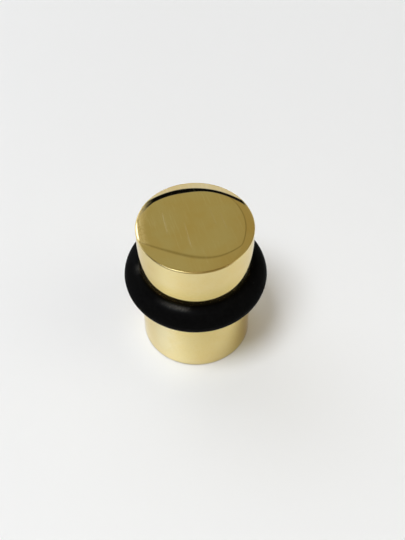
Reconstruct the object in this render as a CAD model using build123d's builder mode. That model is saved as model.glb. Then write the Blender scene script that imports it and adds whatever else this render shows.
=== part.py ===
from build123d import *

import os
from math import radians, tan

# Rigid floor door stop: a solid brass cylinder, turned and polished, with a thick black rubber ring
# in a groove round its upper half. The door meets the ring, which stands proud of the brass.
# A stud in the floor screws into the tapped hole in the foot.
# Millimetres. The origin is the centre of the foot and +Z is the cylinder's axis, pointing up.

# Brass body
body_diameter = 30.0
body_height = 42.0  # floor to the flat middle of the top
crown_width = 3.5  # band of the top, next to the wall, that polishing has rolled off
crown_drop = 0.04  # how far the top falls over that band
top_edge_radius = 0.3
foot_edge_radius = 0.3

# Rubber ring and its groove
ring_cord_diameter = 8.0
ring_stand_out = 4.05  # how far the rubber reaches beyond the wall
ring_centre_height = 23.9
ring_seat_clearance = 0.05  # between the rubber and the groove, all round
groove_lip_radius = 0.3

# Tapped hole in the foot
thread_diameter = 8.0
thread_pitch = 1.25
tapped_depth = 18.0  # full width of the tapping drill, without its point
drill_point_angle = 118.0
mouth_width = 0.3  # how far the countersunk mouth is wider than the thread, each side
mouth_angle = 90.0

# Sizes that follow
body_radius = body_diameter / 2
rim_height = body_height - crown_drop
ring_centre_radius = body_radius + ring_stand_out - ring_cord_diameter / 2
ring_centre = (ring_centre_radius, ring_centre_height)
groove_section_radius = ring_cord_diameter / 2 + ring_seat_clearance
tap_drill_radius = (thread_diameter - thread_pitch) / 2
mouth_radius = thread_diameter / 2 + mouth_width
drill_point_height = tap_drill_radius / tan(radians(drill_point_angle / 2))

# Brass body: half of its outline, turned about the axis, then drilled from the foot
with BuildPart() as brass_body:
    with BuildSketch(Plane.XZ) as outline:
        with BuildLine():
            foot = Line((0, 0), (body_radius, 0))
            wall = Line(foot @ 1, (body_radius, rim_height))
            top = Line((0, body_height), (body_radius - crown_width, body_height))
            TangentArc(top @ 1, wall @ 1, tangent=top % 1)
            Line(foot @ 0, top @ 0)
        make_face()
        foot_corner = outline.vertices().sort_by_distance(foot @ 1)[0]
        fillet(foot_corner, radius=foot_edge_radius)
        rim_corner = outline.vertices().sort_by_distance(wall @ 1)[0]
        fillet(rim_corner, radius=top_edge_radius)
        with Locations(ring_centre):
            Circle(groove_section_radius, mode=Mode.SUBTRACT)
        fillet(outline.vertices(Select.LAST), radius=groove_lip_radius)
    revolve(axis=Axis.Z)

    with Locations(brass_body.faces().sort_by(Axis.Z)[0]):
        CounterSinkHole(
            radius=tap_drill_radius,
            counter_sink_radius=mouth_radius,
            depth=tapped_depth,
            counter_sink_angle=mouth_angle,
        )
    with Locations((0, 0, tapped_depth)):
        Cone(
            bottom_radius=tap_drill_radius,
            top_radius=0,
            height=drill_point_height,
            align=(Align.CENTER, Align.CENTER, Align.MIN),
            mode=Mode.SUBTRACT,
        )
brass_body.part.label = "brass_body"

# Rubber ring: round cord closed on itself, seated in the groove
with BuildPart() as rubber_ring:
    with BuildSketch(Plane.XZ):
        with Locations(ring_centre):
            Circle(ring_cord_diameter / 2)
    revolve(axis=Axis.Z)
rubber_ring.part.label = "rubber_ring"

os.makedirs("parts", exist_ok=True)
export_step(brass_body.part, "parts/brass_body.step")
export_step(rubber_ring.part, "parts/rubber_ring.step")
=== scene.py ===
"""Looks of a rigid floor door stop: a polished brass cylinder with a black rubber ring, on a pale floor.

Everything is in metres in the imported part's frame: the centre of the foot is the origin and +Z is the
cylinder's axis, pointing up. The brass body and the rubber ring are each one closed mesh that stands for
the solid of the same name.
"""

import logging
import math
from dataclasses import dataclass
from enum import Enum
from typing import Mapping, Optional, Sequence, Union

import bpy
import numpy as np
from mathutils import Matrix, Vector


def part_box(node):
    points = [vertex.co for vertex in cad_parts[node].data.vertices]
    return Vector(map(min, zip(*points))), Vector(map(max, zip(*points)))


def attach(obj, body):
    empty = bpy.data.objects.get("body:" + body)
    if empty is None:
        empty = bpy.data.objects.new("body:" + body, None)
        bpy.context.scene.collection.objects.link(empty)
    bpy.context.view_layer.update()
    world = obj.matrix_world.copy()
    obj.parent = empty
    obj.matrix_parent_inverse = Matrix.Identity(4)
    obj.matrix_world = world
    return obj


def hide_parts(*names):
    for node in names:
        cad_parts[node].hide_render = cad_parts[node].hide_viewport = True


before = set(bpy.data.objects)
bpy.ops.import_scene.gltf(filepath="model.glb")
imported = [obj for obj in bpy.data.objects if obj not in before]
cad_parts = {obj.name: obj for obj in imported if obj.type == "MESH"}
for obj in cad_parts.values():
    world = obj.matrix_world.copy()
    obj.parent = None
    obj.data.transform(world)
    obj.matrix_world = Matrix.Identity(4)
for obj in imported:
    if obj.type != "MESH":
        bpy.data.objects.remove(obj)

MM = 0.001

Colour = tuple[float, float, float]
Point = tuple[float, float, float]
Step = tuple[float, float]
log = logging.getLogger("door_stop")


class Slot(Enum):
    """The record's material slots."""

    BRASS = "polished_brass"
    RUBBER = "black_rubber"


class Node(Enum):
    """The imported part's nodes."""

    BODY = "brass_body"
    RING = "rubber_ring"


class Along(Enum):
    """What the edges of a patch are counted along."""

    X = "x"
    Y = "y"
    Z = "z"
    RADIUS = "distance from the axis"
    ROUND = "angle round the axis, from +Y towards +X"
    AZIMUTH = "azimuth"
    ELEVATION = "elevation"


X, Y, Z, RADIUS, ROUND, AZIMUTH, ELEVATION = Along


# Shader maths


class Value:
    """A number in a node tree, as an output socket, which Python's operators extend with Math nodes."""

    def __init__(self, graph: "Graph", socket: bpy.types.NodeSocket) -> None:
        """Wraps one output socket.

        Args:
            graph: the node tree that new nodes go into.
            socket: the output that holds the number.
        """
        self.graph = graph
        self.socket = socket

    def math(self, operation: str, *others: "Number") -> "Value":
        """Adds one Math node whose first input is this value.

        Args:
            operation: the Math node's operation.
            others: its further inputs, in order.

        Returns:
            The node's result.
        """
        return self.graph.math(operation, self, *others)

    def __add__(self, other: "Number") -> "Value":
        """This plus other."""
        return self.math("ADD", other)

    def __sub__(self, other: "Number") -> "Value":
        """This minus other."""
        return self.math("SUBTRACT", other)

    def __rsub__(self, other: "Number") -> "Value":
        """Other minus this."""
        return self.graph.math("SUBTRACT", other, self)

    def __mul__(self, other: "Number") -> "Value":
        """This times other."""
        return self.math("MULTIPLY", other)

    def __truediv__(self, other: "Number") -> "Value":
        """This divided by other."""
        return self.math("DIVIDE", other)

    def __pow__(self, other: "Number") -> "Value":
        """This to the power other."""
        return self.math("POWER", other)

    __radd__ = __add__
    __rmul__ = __mul__

    def at_least(self, limit: "Number") -> "Value":
        """This, or the limit where this is less."""
        return self.math("MAXIMUM", limit)

    def at_most(self, limit: "Number") -> "Value":
        """This, or the limit where this is more."""
        return self.math("MINIMUM", limit)

    def step(self, empty: float, whole: float) -> "Value":
        """A smooth step, which may go either way.

        Args:
            empty: where it is 0.
            whole: where it is 1.

        Returns:
            3t^2 - 2t^3, where t is this value's share of the way from empty to whole, held to 0 and 1.
        """
        t = ((self - empty) / (whole - empty)).at_least(0.0).at_most(1.0)
        return t * t * (3.0 - 2.0 * t)

    def line(self, centre: "Number", half_width: float) -> "Value":
        """A soft band, 1 at centre and 0 from half_width away."""
        return (self - centre).math("ABSOLUTE").step(half_width, 0.0)


Number = Union[float, Value]
Input = Union[float, Sequence[float], Value, bpy.types.NodeSocket]
Inputs = Mapping[Union[str, int], Input]


class Graph:
    """A node tree that is being filled."""

    def __init__(self, tree: bpy.types.NodeTree) -> None:
        """Empties the tree.

        Args:
            tree: the node tree of a material or of the world.
        """
        self.tree = tree
        tree.nodes.clear()

    def node(self, kind: str, settings: Mapping[str, object], inputs: Inputs) -> bpy.types.Node:
        """Adds a node.

        Args:
            kind: the node's type.
            settings: its properties, which are set first.
            inputs: a number, colour, vector or link for each input named, by name or place. A colour
                of three numbers is opaque.

        Returns:
            The node.
        """
        made = self.tree.nodes.new(kind)
        for name, setting in settings.items():
            setattr(made, name, setting)
        for name, value in inputs.items():
            target = made.inputs[name]
            if isinstance(value, Value):
                self.tree.links.new(value.socket, target)
            elif isinstance(value, bpy.types.NodeSocket):
                self.tree.links.new(value, target)
            else:
                opaque = target.type == "RGBA" and len(value) == 3
                target.default_value = (*value, 1.0) if opaque else value
        return made

    def math(self, operation: str, *values: Number) -> Value:
        """Adds a Math node and returns its result."""
        made = self.node("ShaderNodeMath", {"operation": operation}, dict(enumerate(values)))
        return Value(self, made.outputs[0])

    def vector_math(self, operation: str, *values: Input) -> bpy.types.NodeSocket:
        """Adds a Vector Math node and returns its vector."""
        made = self.node("ShaderNodeVectorMath", {"operation": operation}, dict(enumerate(values)))
        return made.outputs[0]

    def dot(self, first: Input, second: Input) -> Value:
        """The dot product of two vectors."""
        made = self.node("ShaderNodeVectorMath", {"operation": "DOT_PRODUCT"}, {0: first, 1: second})
        return Value(self, made.outputs["Value"])

    def split(self, vector: bpy.types.NodeSocket) -> tuple[Value, Value, Value]:
        """The three numbers of a vector."""
        made = self.node("ShaderNodeSeparateXYZ", {}, {0: vector})
        return Value(self, made.outputs[0]), Value(self, made.outputs[1]), Value(self, made.outputs[2])

    def coordinates(self, which: str) -> bpy.types.NodeSocket:
        """One output of a Texture Coordinate node."""
        return self.node("ShaderNodeTexCoord", {}, {}).outputs[which]

    def mix(self, factor: Number, first: Input, second: Input) -> bpy.types.NodeSocket:
        """Blends two colours.

        Args:
            factor: 0 gives the first and 1 the second.
            first: a colour or a link.
            second: a colour or a link.

        Returns:
            The mixed colour.
        """
        return self.node("ShaderNodeMix", {"data_type": "RGBA"}, {0: factor, 6: first, 7: second}).outputs[2]

    def places(self, place: bpy.types.NodeSocket) -> dict[Along, Value]:
        """A point's three coordinates and its distance from the axis, in millimetres."""
        x, y, z = (part / MM for part in self.split(place))
        return {X: x, Y: y, Z: z, RADIUS: (x * x + y * y) ** 0.5}

    def bump(self, height: Value, distance: float) -> bpy.types.NodeSocket:
        """A normal bent by a height, where distance is the height of 1 in metres."""
        inputs = {"Height": height, "Distance": distance, "Strength": 1.0}
        return self.node("ShaderNodeBump", {}, inputs).outputs[0]

    def surface(self, inputs: Inputs) -> bpy.types.NodeSocket:
        """Adds a Principled BSDF and returns its shader."""
        return self.node("ShaderNodeBsdfPrincipled", {}, inputs).outputs[0]

    def blend(self, share: Value, first: Input, second: Input) -> bpy.types.NodeSocket:
        """Mixes two shaders, where a share of 0 gives the first."""
        return self.node("ShaderNodeMixShader", {}, {0: share, 1: first, 2: second}).outputs[0]

    def finish(self, shader: bpy.types.NodeSocket) -> None:
        """Gives the material its shader."""
        self.node("ShaderNodeOutputMaterial", {}, {"Surface": shader})


# Patches and patterns

Places = Mapping[Along, Value]
Edge = tuple[Along, float, float]
BELOW_RING: Edge = (Z, 20.0, 19.0)


@dataclass(frozen=True)
class Patch:
    """A soft-edged patch: how much of it there is at most, and its edges.

    An edge says what it is counted along, where nothing of the patch is left and where it is whole.
    Lengths are in millimetres and angles in degrees.
    """

    share: float
    edges: tuple[Edge, ...]

    def mask(self, places: Places) -> Value:
        """The share at a point, times the smooth step of each edge."""
        return math.prod((places[along].step(empty, whole) for along, empty, whole in self.edges), start=self.share)


@dataclass(frozen=True)
class Tint:
    """A colour that is laid over patches of a surface."""

    colour: Colour
    patches: tuple[Patch, ...]

    def over(self, graph: Graph, places: Places, colour: Input) -> bpy.types.NodeSocket:
        """Lays this colour over another.

        Args:
            graph: the nodes.
            places: where the point is.
            colour: the colour below.

        Returns:
            The mixed colour, by the sum of the patches, which is 1 at most.
        """
        first, *others = (patch.mask(places) for patch in self.patches)
        return graph.mix(sum(others, first).at_most(1.0), colour, self.colour)


@dataclass(frozen=True)
class Grain:
    """A noise pattern: features to the metre, how many finer octaves, and how strong each is beside the last.

    Its coordinates may be turned about Z and then stretched. Its value may go through a smooth step, and
    then have a least value, from which it goes up to 1.
    """

    scale: float
    detail: float = 3.0
    roughness: float = 0.5
    step: Optional[Step] = None
    least: float = 0.0
    stretch: Optional[Point] = None
    turn: float = 0.0

    def read(self, graph: Graph, place: bpy.types.NodeSocket) -> Value:
        """Reads the pattern.

        Args:
            graph: the nodes.
            place: the coordinates where it is read.

        Returns:
            Its value, which is about 0.5 if it goes through no step.
        """
        if self.stretch:
            turned = graph.node("ShaderNodeMapping", {}, {"Vector": place, "Rotation": (0.0, 0.0, self.turn)})
            place = graph.vector_math("MULTIPLY", turned.outputs[0], self.stretch)
        inputs = {"Vector": place, "Scale": self.scale, "Detail": self.detail, "Roughness": self.roughness}
        noise = Value(graph, graph.node("ShaderNodeTexNoise", {}, inputs).outputs[0])
        noise = noise.step(*self.step) if self.step else noise
        return noise * (1.0 - self.least) + self.least if self.least else noise


@dataclass(frozen=True)
class Scratch:
    """One hairline scratch across the top, in millimetres from its centre."""

    start: tuple[float, float]
    end: tuple[float, float]
    width: float

    def mask(self, places: Places) -> Value:
        """How much of the scratch is at a point of the top.

        Args:
            places: where the point is.

        Returns:
            1 on the middle of the scratch, falling to 0 at its width and over its outer halves.
        """
        run = np.subtract(self.end, self.start)
        middle = np.add(self.start, self.end) / 2
        length = float(np.hypot(*run))
        ahead_x, ahead_y = (float(part) for part in run / length)
        x, y = places[X] - float(middle[0]), places[Y] - float(middle[1])
        across, along = y * ahead_x - x * ahead_y, x * ahead_x + y * ahead_y
        return across.line(0.0, self.width) * along.math("ABSOLUTE").step(0.5 * length, 0.25 * length)


# Finishes


def new_material(name: str) -> tuple[bpy.types.Material, Graph]:
    """Makes an empty material.

    Args:
        name: its name.

    Returns:
        The material and the graph of its nodes.
    """
    made = bpy.data.materials.new(name)
    made.use_nodes = True
    return made, Graph(made.node_tree)


@dataclass(frozen=True)
class BuffedBrass:
    """What varies over the brass, as values that several inputs of its shaders share."""

    graph: Graph
    place: bpy.types.NodeSocket
    places: Places
    on_top: Value
    top_lines: Value
    lines: Value
    cloud: Value
    marks: Value
    front_rim_shade: Value


@dataclass(frozen=True)
class PolishedBrass:
    """Bare brass, machined and buffed to a mirror, with the faint marks that the buffing leaves."""

    yellow: Colour = (0.778, 0.658, 0.335)
    ruddy: Colour = (0.765, 0.592, 0.245)
    pale_reflection_and_grain: Colour = (0.81, 0.735, 0.47)
    pale_streak: Colour = (0.9, 0.79, 0.5)
    rim_shade_brown: Colour = (0.32, 0.195, 0.03)
    rim_shade_pale: Colour = (0.38, 0.31, 0.135)
    edge_tint: Colour = (0.95, 0.915, 0.84)
    ring_veil: Colour = (0.85, 0.5, 0.17)
    wall_veil: Colour = (0.88, 0.8, 0.6)

    top: Patch = Patch(1.0, ((Z, 41.7, 41.9),))
    over_ring: Patch = Patch(1.0, ((Z, 26.5, 28.0), (Z, 31.5, 30.0)))
    tints: tuple[Tint, ...] = (
        # Deeper on the walls; painted shade where they mirror the ring above it, and painted shade under the ring
        # that fades towards the foot
        Tint((0.67, 0.53, 0.185), (
            Patch(0.14, ((Z, 41.9, 41.7),)),
            Patch(0.75, ((Z, 28.0, 30.0), (Z, 36.0, 31.0))),
            Patch(0.3, (BELOW_RING, (Z, 9.0, 19.0))),
            Patch(0.22, (BELOW_RING, (Z, 0.5, 7.0))),
        )),
        # Painted shade: gold and then brown round the right of the lower wall, where it mirrors the shadowed floor
        Tint((0.735, 0.58, 0.195), (
            Patch(1.0, (BELOW_RING, (Y, 5.0, -4.0), (X, 7.0, 13.5))),
        )),
        Tint((0.64, 0.41, 0.105), (
            Patch(0.8, (BELOW_RING, (Y, 5.0, -4.0), (X, 12.6, 14.8))),
        )),
        # Painted shade: brown at the foot's edge, where it meets the floor
        Tint((0.4, 0.29, 0.11), (Patch(0.55, ((Z, 0.6, 0.25),)),)),
    )
    # Painted reflection: a paler, mottled patch on the lower left of the wall, where it mirrors the lit floor
    painted_pale_patch: Patch = Patch(1.0, (
        BELOW_RING, (Z, -2.0, 7.0), (X, -13.0, -9.5), (X, -2.0, -8.5),
    ))
    # Painted shade on the front of the rim: brown where it mirrors the dark overhead, and a duller gold at its left
    # that dims the key light's glint
    front_rim_shade: Patch = Patch(1.0, (
        (RADIUS, 14.7, 14.85), (Z, 41.5, 41.7), (Y, 2.0, -4.0),
        (X, -11.5, -7.0), (X, 11.0, 7.0),
    ))
    rim_shade_step: Step = (-4.5, 0.0)
    rim_shade_share: float = 0.85
    rim_roughness: float = 0.3

    top_lines: Grain = Grain(220.0, roughness=0.7, stretch=(9.0, 0.6, 1.0), turn=math.radians(-17))
    round_lines: Grain = Grain(60.0, roughness=0.6, stretch=(1.0, 1.0, 60.0))
    cloud: Grain = Grain(160.0, roughness=0.55)
    worn: Grain = Grain(110.0, detail=2.0, step=(0.38, 0.62), least=0.3)
    ruddy_spots: Grain = Grain(95.0, step=(0.38, 0.62))
    fine: Grain = Grain(1500.0, roughness=0.65, step=(0.3, 0.7))

    pool_centre: tuple[float, float] = (0.5, 1.5)
    pool_edge: Step = (8.5, 2.55)
    pool_raggedness: float = 9.0
    ruddy_clouds: Step = (0.35, 0.65)
    spot_share: float = 0.45
    pool_share: float = 0.35
    cloud_share: float = 0.3
    pale_clouds: Step = (0.35, 0.6)
    pale_cloud_share: float = 0.42
    pale_share: float = 0.2
    fine_share: float = 0.12
    streak_edge: Step = (0.5, 0.72)
    streak_share: float = 0.3
    scratch_share: float = 0.13

    dull_lines: Step = (0.45, 0.75)
    dull_clouds: Step = (0.4, 0.7)
    polish: float = 0.01
    streaking: float = 0.018
    scratch_roughness: float = 0.2
    wall_polish: float = 0.045
    wall_streaking: float = 0.05
    line_height: float = 0.00000008
    scratch_depth: float = 2.0

    veil_roughness: float = 0.45
    wall_veil_share: float = 0.008
    low_veil: Patch = Patch(1.0, (BELOW_RING, (X, 3.0, -13.0)))
    low_veil_share: float = 0.07
    low_veil_lines: float = 0.06
    ring_veil_edge: Step = (28.2, 29.8)
    ring_veil_share: float = 0.006
    ring_veil_left: Patch = Patch(0.028, ((X, -1.0, -11.0),))
    scratch_veil_share: float = 0.03
    scratches: tuple[Scratch, ...] = (
        Scratch(start=(-2.9, 1.9), end=(-0.6, -8.2), width=0.2),
        Scratch(start=(-8.6, 5.2), end=(-6.6, -3.6), width=0.18),
        Scratch(start=(6.1, 4.9), end=(8.1, -1.6), width=0.12),
        Scratch(start=(3.4, 6.5), end=(5.6, -0.5), width=0.1),
    )

    def material(self) -> bpy.types.Material:
        """Makes the material.

        Returns:
            A mirror of a metal with a thin veil of a duller one, whose colour, roughness and relief vary
            over the top, the walls and the foot.
        """
        made, graph = new_material(Slot.BRASS.value)
        buffed = self.buffed(graph)
        metal = {
            "Metallic": 1.0,
            "Specular Tint": self.edge_tint,
            "Normal": graph.bump(buffed.lines - buffed.marks * self.scratch_depth, self.line_height),
        }
        mirror = graph.surface({
            **metal,
            "Base Color": self.colour(buffed),
            "Roughness": self.roughness(buffed),
        })
        veil = graph.surface({
            **metal,
            "Base Color": graph.mix(self.over_ring.mask(buffed.places), self.wall_veil, self.ring_veil),
            "Roughness": self.veil_roughness,
        })
        graph.finish(graph.blend(self.veil_share(buffed), mirror, veil))
        return made

    def buffed(self, graph: Graph) -> BuffedBrass:
        """Works out what varies over the brass.

        Args:
            graph: the material's nodes.

        Returns:
            Its zones, its buffing lines, which lean on the top and run round on the walls, and its scratches.
        """
        place = graph.coordinates("Object")
        places = graph.places(place)
        on_top = self.top.mask(places)
        top_lines = self.top_lines.read(graph, place)
        first, *others = (scratch.mask(places) for scratch in self.scratches)
        return BuffedBrass(
            graph=graph,
            place=place,
            places=places,
            on_top=on_top,
            top_lines=top_lines,
            lines=top_lines * on_top + self.round_lines.read(graph, place) * (1.0 - on_top),
            cloud=self.cloud.read(graph, place),
            marks=sum(others, first) * on_top,
            front_rim_shade=self.front_rim_shade.mask(places),
        )

    def tone(self, buffed: BuffedBrass) -> Value:
        """How ruddy the brass is: in spots, in clouds, and in a ragged pool near the middle of the top.

        Args:
            buffed: what varies over the brass.

        Returns:
            0 for yellow and 1 for ruddy.
        """
        x, y = (buffed.places[along] - middle for along, middle in zip((X, Y), self.pool_centre))
        from_pool = (x * x + y * y) ** 0.5 + (buffed.cloud - 0.5) * self.pool_raggedness
        pool = from_pool.step(*self.pool_edge) * buffed.on_top
        clouds = buffed.cloud.step(*self.ruddy_clouds)
        spots = self.ruddy_spots.read(buffed.graph, buffed.place)
        return (spots * self.spot_share + pool * self.pool_share + clouds * self.cloud_share).at_most(1.0)

    def colour(self, buffed: BuffedBrass) -> bpy.types.NodeSocket:
        """The metal's colour: its tone, tints that are mostly painted shade, a painted pale reflection patch and
        fine grain, streaks and scratches, and painted shade on the rim.

        Args:
            buffed: what varies over the brass.

        Returns:
            The colour.
        """
        graph, place, places = buffed.graph, buffed.place, buffed.places
        colour = graph.mix(self.tone(buffed), self.yellow, self.ruddy)
        for tint in self.tints:
            colour = tint.over(graph, places, colour)
        # The painted pale reflection patch, and the fine grain all over the walls, go towards the same pale colour
        pale = buffed.cloud.step(*self.pale_clouds) * self.pale_cloud_share + self.pale_share
        fine = self.fine.read(graph, place) * (1.0 - buffed.on_top) * self.fine_share
        colour = graph.mix(self.painted_pale_patch.mask(places) * pale + fine, colour, self.pale_reflection_and_grain)
        streaks = buffed.top_lines.step(*self.streak_edge) * self.worn.read(graph, place) * buffed.on_top
        bright = streaks * self.streak_share + buffed.marks * self.scratch_share
        colour = graph.mix(bright.at_most(1.0), colour, self.pale_streak)
        # Painted shade on the rim's front: a dimmed glint at the left, going to brown towards the right
        rim = graph.mix(places[X].step(*self.rim_shade_step), self.rim_shade_pale, self.rim_shade_brown)
        return graph.mix(buffed.front_rim_shade * self.rim_shade_share, colour, rim)

    def roughness(self, buffed: BuffedBrass) -> Value:
        """How dull the metal is: more so in its lines and clouds, on the walls, and on the rim's front.

        Args:
            buffed: what varies over the brass.

        Returns:
            The roughness.
        """
        dull = (buffed.lines.step(*self.dull_lines) + buffed.cloud.step(*self.dull_clouds)) * 0.5
        top = dull * self.streaking + self.polish + buffed.marks * self.scratch_roughness
        wall = dull * self.wall_streaking + self.wall_polish
        return top * buffed.on_top + wall * (1.0 - buffed.on_top) + buffed.front_rim_shade * self.rim_roughness

    def veil_share(self, buffed: BuffedBrass) -> Value:
        """How much of the veil there is: low on the wall, over the ring, and in the scratches.

        Args:
            buffed: what varies over the brass.

        Returns:
            0 for the bare mirror and 1 for the veil alone.
        """
        over_ring = self.over_ring.mask(buffed.places)
        streaky = buffed.lines * self.low_veil_lines + self.low_veil_share
        low = self.low_veil.mask(buffed.places) * streaky + self.wall_veil_share
        by_ring = self.ring_veil_left.mask(buffed.places) + self.ring_veil_share
        by_ring = by_ring * buffed.places[Z].step(*self.ring_veil_edge)
        on_wall = over_ring * by_ring + (1.0 - over_ring) * low
        return (1.0 - buffed.on_top) * on_wall + buffed.marks * self.scratch_veil_share


@dataclass(frozen=True)
class MouldedRubber:
    """Solid black rubber with a satin skin, rubbed smooth next to the wall, with a painted highlight there."""

    black: Colour = (0.0024, 0.0024, 0.0024)
    bloom: Colour = (0.0034, 0.0034, 0.0034)
    dust: Colour = (0.06, 0.06, 0.057)
    painted_highlight_grey: Colour = (0.066, 0.064, 0.058)
    glaze: Colour = (0.7, 0.7, 0.7)
    warm_glaze: Colour = (0.6, 0.5, 0.38)

    mottle: Grain = Grain(700.0, roughness=0.6)
    pores: Grain = Grain(5200.0, detail=2.0)
    dusty: Grain = Grain(300.0, detail=1.0, step=(0.56, 0.6))
    painted_highlight_streaks: Grain = Grain(
        900.0, roughness=0.6, step=(0.3, 0.7), least=0.2, stretch=(5.0, 1.0, 1.0), turn=math.radians(30)
    )
    specks: float = 420.0
    speck_edge: Step = (0.06, 0.03)

    shoulder: Patch = Patch(1.0, ((RADIUS, 17.4, 16.0), (Z, 26.7, 27.4)))
    by_wall: Patch = Patch(1.0, ((RADIUS, 17.2, 15.6),))
    # Painted highlight: pale grey on the shoulder next to the wall, in front and at the left, streaky, seen only
    # square on
    front_painted_highlight: Patch = Patch(1.0, (
        (ROUND, -178.0, -168.0), (ROUND, -139.0, -164.0),
        (RADIUS, 14.7, 15.5), (RADIUS, 16.7, 15.7),
    ))
    side_painted_highlight: Patch = Patch(1.0, (
        (ROUND, -108.0, -101.0), (ROUND, -91.0, -99.0), (RADIUS, 16.9, 15.8),
    ))
    painted_highlight_facing: Step = (0.34, 0.14)

    bloom_edge: Step = (0.35, 0.7)
    matt_edge: Step = (0.3, 0.7)
    matt: float = 0.55
    mottle_roughness: float = 0.1
    rubbed: float = 0.3
    gloss: float = 0.014
    pore_height: float = 0.000004
    mottle_height: float = 2.0
    glaze_roughness: float = 0.22
    glaze_power: float = 14.0
    rubbed_power: float = 10.0

    def material(self) -> bpy.types.Material:
        """Makes the material.

        Returns:
            A black skin, under a painted highlight that shows only where it is seen square on, and under
            the sheen that the skin has at glancing angles.
        """
        made, graph = new_material(Slot.RUBBER.value)
        place = graph.coordinates("Object")
        places = graph.places(place)
        places[ROUND] = places[X].math("ARCTAN2", places[Y]) * math.degrees(1.0)
        shoulder, by_wall = self.shoulder.mask(places), self.by_wall.mask(places)
        facing = Value(graph, graph.node("ShaderNodeLayerWeight", {}, {"Blend": 0.5}).outputs["Facing"])

        # Where the painted highlight lies, streaked
        painted_highlight = (self.front_painted_highlight.mask(places) + self.side_painted_highlight.mask(places)) * self.painted_highlight_streaks.read(graph, place)
        painted_highlight_coat = graph.surface({
            "Base Color": self.painted_highlight_grey,
            "Roughness": self.matt,
            "Specular IOR Level": self.gloss,
        })
        sheen = graph.surface({
            "Base Color": graph.mix(by_wall, self.glaze, self.warm_glaze),
            "Metallic": 1.0,
            "Roughness": self.glaze_roughness,
        })
        skin = self.skin(graph, place, shoulder)
        skin_under_highlight = graph.blend(painted_highlight * shoulder * facing.step(*self.painted_highlight_facing), skin, painted_highlight_coat)
        glancing = facing ** (self.glaze_power - by_wall * (self.glaze_power - self.rubbed_power))
        graph.finish(graph.blend(glancing, skin_under_highlight, sheen))
        return made

    def skin(self, graph: Graph, place: bpy.types.NodeSocket, shoulder: Value) -> bpy.types.NodeSocket:
        """The bare skin: mottled, with pores and a few specks of dust, and smoother on the rubbed shoulder.

        Args:
            graph: the material's nodes.
            place: the point's object coordinates.
            shoulder: how much of the rubbed shoulder there is.

        Returns:
            The shader.
        """
        mottle = self.mottle.read(graph, place)
        cells = graph.node("ShaderNodeTexVoronoi", {"feature": "F1"}, {"Vector": place, "Scale": self.specks})
        speck = Value(graph, cells.outputs["Distance"]).step(*self.speck_edge) * self.dusty.read(graph, place)
        colour = graph.mix(mottle.step(*self.bloom_edge), self.black, self.bloom)
        matt = mottle.step(*self.matt_edge) * self.mottle_roughness + self.matt
        return graph.surface({
            "Base Color": graph.mix(speck, colour, self.dust),
            "Roughness": matt * (1.0 - shoulder) + shoulder * self.rubbed,
            "Specular IOR Level": self.gloss,
            "Normal": graph.bump(self.pores.read(graph, place) + mottle * self.mottle_height, self.pore_height),
        })


@dataclass(frozen=True)
class PaleFloor:
    """A smooth, pale and matt floor."""

    # Painted light: paler towards the front and darker towards the back, for how the light falls across the floor
    near: Colour = (0.936, 0.932, 0.912)
    far: Colour = (0.858, 0.853, 0.833)
    back: Patch = Patch(1.0, ((Y, -100.0, 140.0),))
    cloud: Grain = Grain(30.0, roughness=0.55)
    cloud_share: float = 0.12
    tints: tuple[Tint, ...] = (
        # Painted light: paler in front of the foot, for the light that the brass throws there; and a painted
        # contact shadow, dark in the line under its edge
        Tint((0.97, 0.97, 0.96), (Patch(0.7, ((RADIUS, 26.0, 16.0), (Y, 4.0, -8.0))),)),
        Tint((0.45, 0.38, 0.28), (Patch(0.5, ((RADIUS, 15.25, 14.85),)),)),
    )
    matt: float = 0.38
    gloss: float = 0.7

    def material(self) -> bpy.types.Material:
        """Makes the material.

        Returns:
            A matt surface with painted light: a little darker towards the back, paler before the foot, and a
                painted shadow dark under it.
        """
        made, graph = new_material("pale_floor")
        place = graph.coordinates("Object")
        places = graph.places(place)
        back = self.back.mask(places) + (self.cloud.read(graph, place) - 0.5) * self.cloud_share
        colour = graph.mix(back, self.near, self.far)
        for tint in self.tints:
            colour = tint.over(graph, places, colour)
        graph.finish(graph.surface({
            "Base Color": colour,
            "Roughness": self.matt,
            "Specular IOR Level": self.gloss,
        }))
        return made


# Surfaces


@dataclass(frozen=True)
class Profile:
    """Half the outline of a turned piece: points of radius and height, and the outward normal at each.

    It is walked with the outside on the left: out along the top, down the wall and in along the foot.
    """

    points: np.ndarray
    normals: np.ndarray

    @classmethod
    def line(cls, start: tuple[float, float], end: tuple[float, float], count: int) -> "Profile":
        """A straight stretch.

        Each point is start + t (end - start), for t even from 0 to 1, and the normal is the run turned
        a quarter left.

        Args:
            start: radius and height of the first point.
            end: radius and height of the last.
            count: how many points.

        Returns:
            The stretch.
        """
        t = np.linspace(0.0, 1.0, count)[:, None]
        run = np.subtract(end, start)
        normal = np.array([-run[1], run[0]]) / np.hypot(*run)
        return cls(np.add(start, t * run), np.tile(normal, (count, 1)))

    @classmethod
    def arc(
        cls, centre: tuple[float, float], radius: float, ends: tuple[float, float], count: int, hollow: bool = False
    ) -> "Profile":
        """A round stretch.

        Each point is centre + radius (cos a, sin a), for a even between the ends. The normal is
        (cos a, sin a), or its opposite where the stretch is hollow.

        Args:
            centre: radius and height of the arc's centre.
            radius: the arc's radius.
            ends: the angles it starts and ends at, in radians from outwards.
            count: how many points.
            hollow: True for a groove, whose outside is towards the centre.

        Returns:
            The stretch.
        """
        angle = np.linspace(*ends, count)
        spoke = np.column_stack([np.cos(angle), np.sin(angle)])
        return cls(np.add(centre, radius * spoke), -spoke if hollow else spoke)

    def __add__(self, other: "Profile") -> "Profile":
        """This stretch and then the other."""
        return Profile(np.vstack([self.points, other.points]), np.vstack([self.normals, other.normals]))


def round_angles(count: int) -> np.ndarray:
    """Angles even round the circle, in radians."""
    return np.linspace(0.0, 2 * np.pi, count, endpoint=False)


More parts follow.
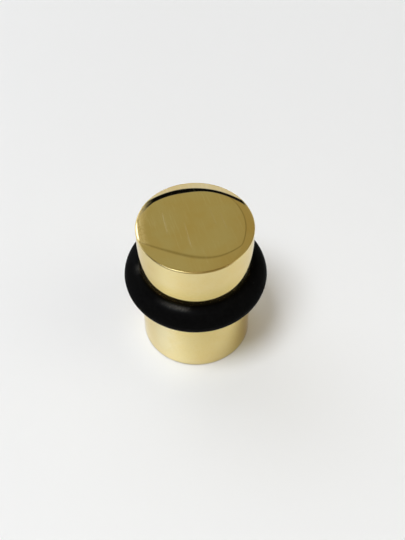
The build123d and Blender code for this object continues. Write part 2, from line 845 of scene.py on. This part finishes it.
def turned(profile: Profile, columns: int) -> tuple[np.ndarray, np.ndarray]:
    """Turns a profile about the Z axis.

    A point (r, z) of the profile goes to (r cos u, r sin u, z), for u even round the circle, and its
    normal turns with it.

    Args:
        profile: the half outline.
        columns: how many steps round.

    Returns:
        Points and normals, each of shape rows, columns, 3.
    """
    angle = round_angles(columns)
    spoke = np.stack([np.cos(angle), np.sin(angle), np.zeros(columns)], -1)
    up = np.array([0.0, 0.0, 1.0])

    def turn(pairs: np.ndarray) -> np.ndarray:
        """Carries radius and height pairs round."""
        return pairs[:, None, :1] * spoke[None] + pairs[:, None, 1:] * up

    return turn(profile.points), turn(profile.normals)


def surface_normals(points: np.ndarray, loop: bool = False) -> np.ndarray:
    """Normals of a grid that closes on itself along its columns.

    The normal is the cross product of the differences between neighbours down the rows and along the
    columns, made one long.

    Args:
        points: shape rows, columns, 3.
        loop: True if the last row is followed by the first too.

    Returns:
        Normals of the same shape.
    """
    down = np.roll(points, -1, axis=0) - np.roll(points, 1, axis=0) if loop else np.gradient(points, axis=0)
    along = np.roll(points, -1, axis=1) - np.roll(points, 1, axis=1)
    normal = np.cross(down, along)
    return normal / np.linalg.norm(normal, axis=-1, keepdims=True)


class Shell:
    """A closed mesh that is put together from rings of points, from pole to pole or round in a loop."""

    def __init__(self) -> None:
        """Starts with no points."""
        self.points: list[np.ndarray] = []
        self.normals: list[np.ndarray] = []
        self.quads: list[np.ndarray] = []
        self.triangles: list[np.ndarray] = []
        self.count = 0

    def add(self, points: np.ndarray, normals: np.ndarray) -> np.ndarray:
        """Adds points.

        Args:
            points: any shape whose last side is 3.
            normals: the same shape.

        Returns:
            The places of the points in the mesh, in the same shape without its last side.
        """
        self.points.append(points.reshape(-1, 3))
        self.normals.append(normals.reshape(-1, 3))
        self.count += len(self.points[-1])
        return np.arange(self.count - len(self.points[-1]), self.count).reshape(points.shape[:-1])

    def grid(self, points: np.ndarray, normals: np.ndarray, loop: bool = False) -> tuple[np.ndarray, np.ndarray]:
        """Adds a grid that closes on itself along its columns.

        The face between rows i and i + 1 and columns j and j + 1 is (i, j), (i + 1, j),
        (i + 1, j + 1), (i, j + 1), where the last column is followed by the first.

        Args:
            points: shape rows, columns, 3.
            normals: the same shape.
            loop: True if the last row is followed by the first too.

        Returns:
            The places of the points of the first ring and of the last.
        """
        place = self.add(points, normals)
        place = np.vstack([place, place[:1]]) if loop else place
        after = np.roll(place, -1, axis=1)
        self.quads.append(np.stack([place[:-1], place[1:], after[1:], after[:-1]], -1).reshape(-1, 4))
        return place[0], place[-1]

    def pole(self, point: Point, normal: Point, ring: np.ndarray, before: bool) -> None:
        """Closes an end with a fan of triangles about one point.

        Args:
            point: the pole.
            normal: its normal.
            ring: the places of the ring's points.
            before: True for the pole that the rings start from.
        """
        middle = np.full(len(ring), self.add(np.array([point]), np.array([normal])))
        after = np.roll(ring, -1)
        fan = (middle, ring, after) if before else (ring, middle, after)
        self.triangles.append(np.stack(fan, -1))

    def bridge(self, wide: np.ndarray, narrow: np.ndarray) -> None:
        """Joins a ring of many points to a ring of fewer, a whole number of times fewer, by triangles.

        Wide edge k goes to narrow point k // ratio, and narrow edge j to wide point ratio (j + 1).

        Args:
            wide: the places of the points of the ring that has more of them.
            narrow: those of the other ring.
        """
        ratio = len(wide) // len(narrow)
        outer = np.stack([wide, np.repeat(narrow, ratio), np.roll(wide, -1)], -1)
        inner = np.stack([np.roll(wide, -ratio)[::ratio], narrow, np.roll(narrow, -1)], -1)
        self.triangles += [outer, inner]

    def build(self, name: str, material: bpy.types.Material) -> bpy.types.Object:
        """Makes the object.

        Args:
            name: its name.
            material: its finish.

        Returns:
            A smooth mesh at the origin with the normals that were given.
        """
        points = np.vstack(self.points)
        quads, triangles = np.vstack(self.quads), np.vstack([np.empty((0, 3), int), *self.triangles])
        corners = np.concatenate([quads.ravel(), triangles.ravel()])
        sizes = np.concatenate([np.full(len(quads), 4), np.full(len(triangles), 3)])
        mesh = bpy.data.meshes.new(name)
        mesh.vertices.add(len(points))
        mesh.vertices.foreach_set("co", points.ravel())
        mesh.loops.add(len(corners))
        mesh.loops.foreach_set("vertex_index", corners)
        mesh.polygons.add(len(sizes))
        mesh.polygons.foreach_set("loop_start", np.concatenate([[0], np.cumsum(sizes)[:-1]]))
        mesh.polygons.foreach_set("use_smooth", np.ones(len(sizes), bool))
        mesh.update(calc_edges=True)
        mesh.validate()
        mesh.normals_split_custom_set_from_vertices(np.vstack(self.normals))
        mesh.materials.append(material)
        made = bpy.data.objects.new(name, mesh)
        bpy.context.collection.objects.link(made)
        log.info("%s: %d points, %d triangles", name, len(points), 2 * len(quads) + len(triangles))
        return made


# Sub-assemblies


@dataclass
class TappedHole:
    """The blind threaded hole in the foot. Sizes are in metres."""

    drill_radius: float = 3.375 * MM
    thread_radius: float = 4.0 * MM
    pitch: float = 1.25 * MM
    crest: float = 0.372 * MM
    flank: float = 0.361 * MM
    mouth_radius: float = 4.3 * MM
    thread_end: float = 14.5 * MM
    run_out: float = 1.9 * MM
    depth: float = 18.0 * MM
    tip: float = 20.03 * MM
    edge_break: float = 0.02 * MM
    row_step: float = 0.08 * MM
    point_end: tuple[float, float] = (0.135 * MM, 19.95 * MM)
    point_rows: int = 6
    columns: int = 96

    def wall_radius(self, angle: np.ndarray, height: np.ndarray) -> np.ndarray:
        """Radius of the hole's wall, thread and mouth together.

        The thread is a helix whose depth depends on how far a point is along the axis from the nearest
        crest: none on the crest, a straight flank, then the full depth. It fades over the run-out, and
        the countersunk mouth, which narrows by as much as it rises, cuts whatever is narrower.

        Args:
            angle: angles round the axis, in radians.
            height: heights above the foot.

        Returns:
            The radius at each angle and height.
        """
        turn = height / self.pitch - angle / (2 * np.pi)
        from_crest = np.abs(turn - np.round(turn)) * self.pitch
        cut = np.clip((from_crest - self.crest / 2) / self.flank, 0.0, 1.0)
        fade = np.clip((self.thread_end + self.run_out - height) / self.run_out, 0.0, 1.0)
        thread = self.drill_radius + (self.thread_radius - self.drill_radius) * cut * fade
        return np.maximum(thread, self.mouth_radius - height)

    def bore_into(self, shell: Shell, ring: np.ndarray) -> None:
        """Adds the hole to the body, from a ring on the foot to the drill's point.

        Args:
            shell: the body's mesh so far.
            ring: the places of the points of the foot's last ring.
        """
        height = np.arange(self.edge_break, self.depth, self.row_step)[:, None]
        angle = round_angles(self.columns)[None, :]
        radius = self.wall_radius(angle, height)
        wall = np.stack([radius * np.cos(angle), radius * np.sin(angle), height + 0.0 * angle], -1)
        first, last = shell.grid(wall, surface_normals(wall))
        shell.bridge(ring, first)

        point = Profile.line((self.drill_radius, self.depth), self.point_end, self.point_rows)
        start, end = shell.grid(*turned(point, self.columns))
        shell.bridge(last, start)
        shell.pole((0.0, 0.0, self.tip), (0.0, 0.0, -1.0), end, before=False)


@dataclass
class BrassBody:
    """The turned cylinder. Sizes are in metres."""

    radius: float = 15.0 * MM
    height: float = 42.0 * MM
    roll_off_width: float = 4.8 * MM
    roll_off_drop: float = 0.0386 * MM
    roll_off_power: float = 3.42
    edge_radius: float = 0.3 * MM
    foot_radius: float = 0.42 * MM
    ring_centre: tuple[float, float] = (15.05 * MM, 23.9 * MM)
    groove_radius: float = 4.05 * MM
    lip_radius: float = 0.3 * MM
    centre_share: float = 0.02
    flat_rows: int = 6
    roll_off_rows: int = 34
    edge_rows: int = 13
    lip_rows: int = 9
    groove_rows: int = 41
    wall_rows: tuple[int, int] = (12, 16)
    same_point: float = 0.0001 * MM
    columns: int = 384

    def top(self) -> Profile:
        """The flat top, which falls away towards the rim.

        At radius r past the flat the fall is drop t^power, where t is the share of the roll-off's width
        that has been crossed.

        Returns:
            The stretch from near the centre to the rim's round.
        """
        flat = self.radius - self.roll_off_width
        rim = self.radius - self.edge_radius
        level = np.linspace(self.centre_share * self.radius, flat, self.flat_rows)
        r = np.concatenate([level, np.linspace(flat, rim, self.roll_off_rows)[1:]])
        t = np.clip((r - flat) / self.roll_off_width, 0.0, 1.0)
        z = self.height - self.roll_off_drop * t ** self.roll_off_power
        slope = self.roll_off_drop * self.roll_off_power / self.roll_off_width * t ** (self.roll_off_power - 1)
        normal = np.column_stack([slope, np.ones_like(slope)])
        return Profile(np.column_stack([r, z]), normal / np.linalg.norm(normal, axis=1, keepdims=True))

    def groove(self) -> Profile:
        """The round groove with its two lips.

        A lip is an arc that touches the wall and the groove's own arc, so its centre is a lip radius
        inside the wall and the sum of the two radii from the groove's centre.

        Returns:
            The stretch from the wall above to the wall below.
        """
        centre_r, centre_z = self.ring_centre
        lip_r = self.radius - self.lip_radius
        reach = self.groove_radius + self.lip_radius
        rise = math.sqrt(reach**2 - (centre_r - lip_r) ** 2)
        meet = math.atan2(rise, lip_r - centre_r)
        upper = Profile.arc((lip_r, centre_z + rise), self.lip_radius, (0.0, meet - math.pi), self.lip_rows)
        around = (meet, 2 * math.pi - meet)
        hollow = Profile.arc(self.ring_centre, self.groove_radius, around, self.groove_rows, hollow=True)
        lower = Profile.arc((lip_r, centre_z - rise), self.lip_radius, (math.pi - meet, 0.0), self.lip_rows)
        return upper + hollow + lower

    def outline(self, mouth_radius: float) -> Profile:
        """The whole half outline.

        Args:
            mouth_radius: where the foot ends at the hole.

        Returns:
            The profile from the top's centre to the hole.
        """
        top, groove = self.top(), self.groove()
        edge = self.edge_radius
        tilt = math.acos(top.normals[-1, 0])
        rim_z = top.points[-1, 1] - edge * top.normals[-1, 1]
        rim = Profile.arc((self.radius - edge, rim_z), edge, (tilt, 0.0), self.edge_rows)
        foot_r = self.radius - self.foot_radius
        quarter = (0.0, -math.pi / 2)
        foot_edge = Profile.arc((foot_r, self.foot_radius), self.foot_radius, quarter, self.edge_rows)
        above, below = self.wall_rows
        wall_above = Profile.line((self.radius, rim_z), tuple(groove.points[0]), above)
        wall_below = Profile.line(tuple(groove.points[-1]), (self.radius, self.foot_radius), below)
        foot = Profile.line((foot_r, 0.0), (mouth_radius, 0.0), self.flat_rows)
        return top + rim + wall_above + groove + wall_below + foot_edge + foot

    def build(self, hole: TappedHole, finish: PolishedBrass) -> bpy.types.Object:
        """Makes the body, without the points that two stretches of its outline share.

        Args:
            hole: the tapped hole in its foot.
            finish: the brass.

        Returns:
            One closed mesh.
        """
        shell = Shell()
        points, normals = turned(self.outline(hole.mouth_radius + hole.edge_break), self.columns)
        keep = np.ones(len(points), bool)
        keep[1:] = np.linalg.norm(np.diff(points[:, 0], axis=0), axis=-1) > self.same_point
        first, last = shell.grid(points[keep], normals[keep])
        shell.pole((0.0, 0.0, self.height), (0.0, 0.0, 1.0), first, before=True)
        hole.bore_into(shell, last)
        return shell.build("turned_brass_body", finish.material())


@dataclass
class RubberRing:
    """The moulded ring. Sizes are in metres."""

    centre: tuple[float, float] = (15.05 * MM, 23.9 * MM)
    section_radius: float = 4.0 * MM
    seam_height: float = 0.05 * MM
    seam_width: float = 0.16 * MM
    seam_variation: float = 0.25
    unevenness: float = 0.012 * MM
    sag: float = 0.14 * MM
    side_flat: float = 0.85 * MM
    side_lean: float = 0.42 * MM
    free_steepness: float = 3.0
    crowding: float = 0.85
    columns: int = 384
    rows: int = 110

    def build(self, finish: MouldedRubber) -> bpy.types.Object:
        """Makes the ring.

        At angle u round the axis and v round the section, counted from outwards, the section's radius
        is its nominal one, plus a bell-shaped seam at v = 0, which varies slowly in u, and a slow
        unevenness, a product of waves in u and v. Off it come three things that fade in from the top and
        bottom of the section to its outer half: the seam's height, which keeps the ring to its size; a
        sag times sin 2v, which makes the free side hang a little; and a flat on the upper shoulder
        towards the two front sides, greater on the left one, which is (flat - lean cos u) cos^4 u times
        -sin u times sin 2v, where both of these are above 0. The point is at radius c + s cos v and
        height h + s sin v. The rows crowd towards the seam: v = crowding sin w - w for w even round the
        circle.

        Args:
            finish: the rubber.

        Returns:
            One closed mesh.
        """
        u, w = round_angles(self.columns)[None, :], round_angles(self.rows)[:, None]
        v = self.crowding * np.sin(w) - w
        seam = self.seam_height * np.exp(-((np.sin(v / 2) * 2 * self.section_radius / self.seam_width) ** 2))
        seam = seam * (1.0 - self.seam_variation * (1.0 - np.sin(5 * u + 1.0) * np.cos(3 * u)))
        wave = self.unevenness * np.sin(3 * u + 0.7) * np.cos(2 * v + 0.4)
        slant = np.sin(2 * v)
        flatter = (self.side_flat - self.side_lean * np.cos(u)) * np.cos(u) ** 4 * np.maximum(-np.sin(u), 0.0)
        hang = self.sag * slant + self.seam_height + flatter * np.maximum(slant, 0.0)
        free = np.clip(np.cos(v) * self.free_steepness, 0.0, 1.0)
        section = self.section_radius - self.unevenness + seam + wave - hang * free
        radius = self.centre[0] + section * np.cos(v)
        height = self.centre[1] + section * np.sin(v)
        points = np.stack([radius * np.cos(u), radius * np.sin(u), height], -1)
        shell = Shell()
        shell.grid(points, surface_normals(points, loop=True), loop=True)
        return shell.build("moulded_rubber_ring", finish.material())


# Stage


@dataclass(frozen=True)
class SoftLight:
    """A soft patch of light in the surroundings. Angles are in degrees, azimuth from +Y towards +X."""

    azimuth: float
    elevation: float
    core: float
    edge: float
    colour: Colour

    def direction(self) -> Vector:
        """The unit vector towards the light's middle."""
        a, e = math.radians(self.azimuth), math.radians(self.elevation)
        return Vector((math.cos(e) * math.sin(a), math.cos(e) * math.cos(a), math.sin(e)))

    def mask(self, graph: Graph, direction: bpy.types.NodeSocket) -> Value:
        """1 inside the core's angle and 0 outside the edge's."""
        near = graph.dot(direction, tuple(self.direction()))
        return near.step(math.cos(math.radians(self.edge)), math.cos(math.radians(self.core)))


@dataclass(frozen=True)
class MirroredPanel:
    """What the flat top mirrors: a warm ceiling panel with a seam round it, and the dark gap behind it.

    Angles are in degrees, azimuth from +Y towards +X and elevation from the horizon.
    """

    warm: Colour = (0.416, 0.378, 0.222)
    beyond_front: Colour = (0.429, 0.391, 0.235)
    beyond_right: Colour = (0.38, 0.315, 0.158)
    above: Colour = (0.22, 0.145, 0.062)
    seam: Colour = (0.21, 0.172, 0.074)
    gap: Colour = (0.004, 0.004, 0.005)
    gap_rim: Colour = (0.15, 0.22, 0.32)

    front_edge: float = 51.2
    front_centre: float = 0.7
    front_bow: float = 0.029
    front_low: float = 50.42
    front_blend: float = 0.7
    front_softness: Step = (-0.05, 0.05)
    right_edge: float = 5.62
    right_bow: float = 0.2
    right_straight: float = 49.3
    right_softness: Step = (-0.1, 0.15)
    azimuth_scale: float = 0.66
    corner: float = 0.3
    seam_width: float = 0.17

    reach: Patch = Patch(1.0, ((AZIMUTH, -80.0, -40.0), (AZIMUTH, 80.0, 40.0)))
    high: Patch = Patch(1.0, ((ELEVATION, 53.4, 60.0),))
    browner_inside: Patch = Patch(0.5, ((AZIMUTH, 1.0, 5.5),))
    browner_front: Patch = Patch(0.7, ((AZIMUTH, -0.5, 4.0),))
    seam_share: float = 0.7
    darker_seam: Patch = Patch(0.25, ((AZIMUTH, -0.5, 4.0),))

    gap_top: float = 46.03
    gap_left: Patch = Patch(0.29, ((AZIMUTH, 1.2, -2.6),))
    gap_corner: float = -6.1
    gap_slope: float = 0.3
    gap_bottom: float = 45.34
    gap_bow: float = 0.004
    gap_droop: Patch = Patch(0.1, ((AZIMUTH, 3.0, 7.0),))
    gap_reach: Patch = Patch(1.0, ((AZIMUTH, -10.8, -7.3), (AZIMUTH, 8.0, 6.2)))
    gap_top_edge: Step = (0.0, 0.1)
    gap_bottom_edge: Step = (0.0, 0.12)
    rim_line: tuple[float, float] = (0.03, 0.13)
    rim_reach: Patch = Patch(0.6, ((AZIMUTH, 5.0, 2.0),))

    def outside(self, places: Places) -> tuple[Value, Value, Value]:
        """How far a direction is in front of the panel's front edge, right of its right one and outside both.

        The front edge is at elevation front_edge - front_bow (azimuth - front_centre)^2, held above
        front_low by a smooth maximum. The right one is at azimuth right_edge, less right_bow times the
        square of how far the elevation is below right_straight. They meet in a round corner: with a and
        b the distances outside them, each with the corner's radius added, the distance outside the
        panel is the length of (max(a, 0), max(b, 0)) plus min(max(a, b), 0), less the radius.

        Args:
            places: the direction looked in.

        Returns:
            The three distances, in degrees of arc.
        """
        azimuth, elevation = places[AZIMUTH], places[ELEVATION]
        off_centre = azimuth - self.front_centre
        bowed = self.front_edge - off_centre * off_centre * self.front_bow
        ahead = elevation - bowed.math("SMOOTH_MAX", self.front_low, self.front_blend)
        below = (self.right_straight - elevation).at_least(0.0)
        aside = (azimuth + below * below * self.right_bow - self.right_edge) * self.azimuth_scale
        a, b = ahead + self.corner, aside + self.corner
        length = (a.at_least(0.0) ** 2.0 + b.at_least(0.0) ** 2.0) ** 0.5
        return ahead, aside, length + a.at_least(b).at_most(0.0) - self.corner

    def field(self, graph: Graph, places: Places) -> bpy.types.NodeSocket:
        """The panel with what is round it: warm inside, paler in front, browner at the right, darker high up.

        Args:
            graph: the world's nodes.
            places: the direction looked in.

        Returns:
            The colour.
        """
        ahead, aside, outside = self.outside(places)
        inside = graph.mix(self.browner_inside.mask(places), self.warm, self.beyond_right)
        front = graph.mix(self.browner_front.mask(places), self.beyond_front, self.beyond_right)
        field = graph.mix(ahead.step(*self.front_softness), inside, front)
        field = graph.mix(aside.step(*self.right_softness), field, self.beyond_right)
        seam = outside.line(0.0, self.seam_width) * (self.darker_seam.mask(places) + self.seam_share)
        return graph.mix(self.high.mask(places), graph.mix(seam, field, self.seam), self.above)

    def over(self, graph: Graph, places: Places, colour: Input) -> bpy.types.NodeSocket:
        """Puts the panel and the gap over a colour of the world.

        The gap's upper edge is at elevation gap_top, plus a soft step up at the left and a straight rise
        from gap_corner leftwards, and its lower one at gap_bottom - gap_bow azimuth^2. Both droop a
        little at the right. The gap is dark, with a pale rim along its lower edge.

        Args:
            graph: the world's nodes.
            places: the direction looked in.
            colour: the colour where the panel isn't.

        Returns:
            The colour with the panel.
        """
        azimuth, elevation = places[AZIMUTH], places[ELEVATION]
        droop = self.gap_droop.mask(places)
        far_left = (self.gap_corner - azimuth).at_least(0.0) * self.gap_slope
        over_gap = elevation - (self.gap_left.mask(places) + far_left - droop + self.gap_top)
        cover = over_gap.step(*self.gap_top_edge)
        colour = graph.mix(cover * self.reach.mask(places), colour, self.field(graph, places))
        gap = self.gap_reach.mask(places) * (1.0 - cover)
        over_rim = elevation - (self.gap_bottom - azimuth * azimuth * self.gap_bow - droop)
        colour = graph.mix(over_rim.step(*self.gap_bottom_edge) * gap, colour, self.gap)
        rim = over_rim.line(*self.rim_line) * gap * self.rim_reach.mask(places)
        return graph.mix(rim, colour, self.gap_rim)


@dataclass(frozen=True)
class Room:
    """What surrounds the object: pale walls low down, a dim ceiling and soft lights.

    Angles are in degrees, azimuth from +Y towards +X and elevation from the horizon. The band at the
    horizon has the floor's brightness, so that the two run together.
    """

    backdrop: Colour = (0.857, 0.858, 0.846)
    ceiling: Tint = Tint((0.04, 0.035, 0.028), (Patch(1.0, ((ELEVATION, 16.0, 30.0),)),))
    far_wall: Tint = Tint((0.77, 0.77, 0.86), (
        Patch(1.0, ((AZIMUTH, -34.0, -14.0), (AZIMUTH, 34.0, 14.0), (ELEVATION, 24.0, 36.0))),
    ))
    overhead: Colour = (0.17, 0.13, 0.08)
    overhead_middle: Point = (0.0, -0.34, 0.94)
    overhead_edge: Step = (0.62, 0.86)
    key: SoftLight = SoftLight(azimuth=-127.0, elevation=68.0, core=8.0, edge=14.0, colour=(15.0, 15.9, 17.4))
    left_window: SoftLight = SoftLight(azimuth=-42.0, elevation=34.0, core=6.0, edge=31.0, colour=(1.4, 1.45, 1.6))
    right_wall: SoftLight = SoftLight(azimuth=98.0, elevation=48.0, core=6.0, edge=26.0, colour=(1.19, 1.13, 0.88))
    panel: MirroredPanel = MirroredPanel()
    lit_wall: Colour = (0.74, 0.71, 0.63)
    lit_place: Patch = Patch(1.0, (
        (AZIMUTH, -6.2, -9.0), (AZIMUTH, -60.0, -35.0),
        (ELEVATION, 43.0, 46.5), (ELEVATION, 50.9, 50.1),
    ))
    ripple: Grain = Grain(1.0, roughness=0.65, step=(0.35, 0.68), least=0.15, stretch=(1.1, 4.5, 1.0))
    window: Tint = Tint((2.7, 2.9, 3.9), (Patch(1.0, (
        (AZIMUTH, -9.6, -10.0), (AZIMUTH, -11.4, -10.6),
        (ELEVATION, 47.5, 48.3), (ELEVATION, 50.3, 49.7),
    )),))

    def light(self) -> None:
        """Makes the world."""
        world = bpy.data.worlds.new("room")
        world.use_nodes = True
        bpy.context.scene.world = world
        graph = Graph(world.node_tree)
        direction = graph.coordinates("Generated")
        x, y, z = graph.split(direction)
        azimuth, elevation = x.math("ARCTAN2", y) * math.degrees(1.0), z.math("ARCSINE") * math.degrees(1.0)
        places = {AZIMUTH: azimuth, ELEVATION: elevation}

        colour = self.far_wall.over(graph, places, self.ceiling.over(graph, places, self.backdrop))
        overhead = graph.dot(direction, self.overhead_middle).step(*self.overhead_edge)
        colour = graph.mix(overhead, colour, self.overhead)
        for light in (self.right_wall, self.left_window, self.key):
            colour = graph.mix(light.mask(graph, direction), colour, light.colour)
        colour = self.panel.over(graph, places, colour)
        colour = graph.mix(self.beside(graph, places), colour, self.lit_wall)
        colour = self.window.over(graph, places, colour)
        shader = graph.node("ShaderNodeBackground", {}, {"Color": colour, "Strength": 1.0})
        graph.node("ShaderNodeOutputWorld", {}, {"Surface": shader.outputs[0]})
        log.info("room: key light at azimuth %.0f, elevation %.0f", self.key.azimuth, self.key.elevation)

    def beside(self, graph: Graph, places: Places) -> Value:
        """Where the lit wall beside the window is, rippled as the buffed brass shows it."""
        place = graph.node("ShaderNodeCombineXYZ", {}, {0: places[AZIMUTH], 1: places[ELEVATION]}).outputs[0]
        return self.lit_place.mask(places) * self.ripple.read(graph, place)


@dataclass(frozen=True)
class Floor:
    """A round pale floor under the object. Sizes are in metres."""

    radius: float = 6.0
    innermost: float = 0.05
    rings: int = 12
    columns: int = 128

    def build(self, finish: PaleFloor) -> bpy.types.Object:
        """Makes the floor, a flat disc of rings at radius R t^3 for t even from innermost to 1, and stages it.

        Args:
            finish: the floor's finish.

        Returns:
            The floor.
        """
        t = np.linspace(self.innermost, 1.0, self.rings)
        flat = Profile(np.column_stack([self.radius * t**3, 0.0 * t]), np.tile([0.0, 1.0], (len(t), 1)))
        shell = Shell()
        first, _ = shell.grid(*turned(flat, self.columns))
        shell.pole((0.0, 0.0, 0.0), (0.0, 0.0, 1.0), first, before=True)
        made = shell.build("floor", finish.material())
        return made


@dataclass(frozen=True)
class PhotoCamera:
    """The photograph's camera, solved from the object's outlines. Angles are in radians."""

    place: Point = (1.8149 * MM, -129.0586 * MM, 189.6313 * MM)
    look_down: float = 0.9090
    roll: float = 0.0030
    focal_px: float = 785.57
    frame_height_px: float = 540.0
    sensor: float = 36.0

    def build(self) -> None:
        """Makes the camera and gives it to the scene."""
        data = bpy.data.cameras.new("photo_camera")
        data.sensor_width = self.sensor
        data.lens = self.focal_px / self.frame_height_px * self.sensor
        data.clip_start = 0.01
        data.clip_end = 20.0
        made = bpy.data.objects.new("photo_camera", data)
        bpy.context.collection.objects.link(made)
        tilt = Matrix.Rotation(math.pi / 2 - self.look_down, 4, "X") @ Matrix.Rotation(-self.roll, 4, "Z")
        made.matrix_world = Matrix.Translation(self.place) @ tilt
        bpy.context.scene.camera = made


def carry(piece: bpy.types.Object, node: Node) -> None:
    """Puts a piece in the place of the solid that it stands for.

    Args:
        piece: the finished mesh.
        node: the solid's node.
    """
    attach(piece, "root")
    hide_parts(node.value)
    low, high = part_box(node.value)
    log.info("%s stands for %s, %s mm", piece.name, node.value, [round((b - a) / MM, 2) for a, b in zip(low, high)])


def main() -> None:
    """Builds the object and its stage."""
    logging.basicConfig(level=logging.INFO, format="%(name)s %(message)s")
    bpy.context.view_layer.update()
    bpy.context.scene.view_settings.view_transform = "Standard"
    carry(BrassBody().build(TappedHole(), PolishedBrass()), Node.BODY)
    carry(RubberRing().build(MouldedRubber()), Node.RING)
    Floor().build(PaleFloor())
    Room().light()
    PhotoCamera().build()


if __name__ == "__main__":
    main()
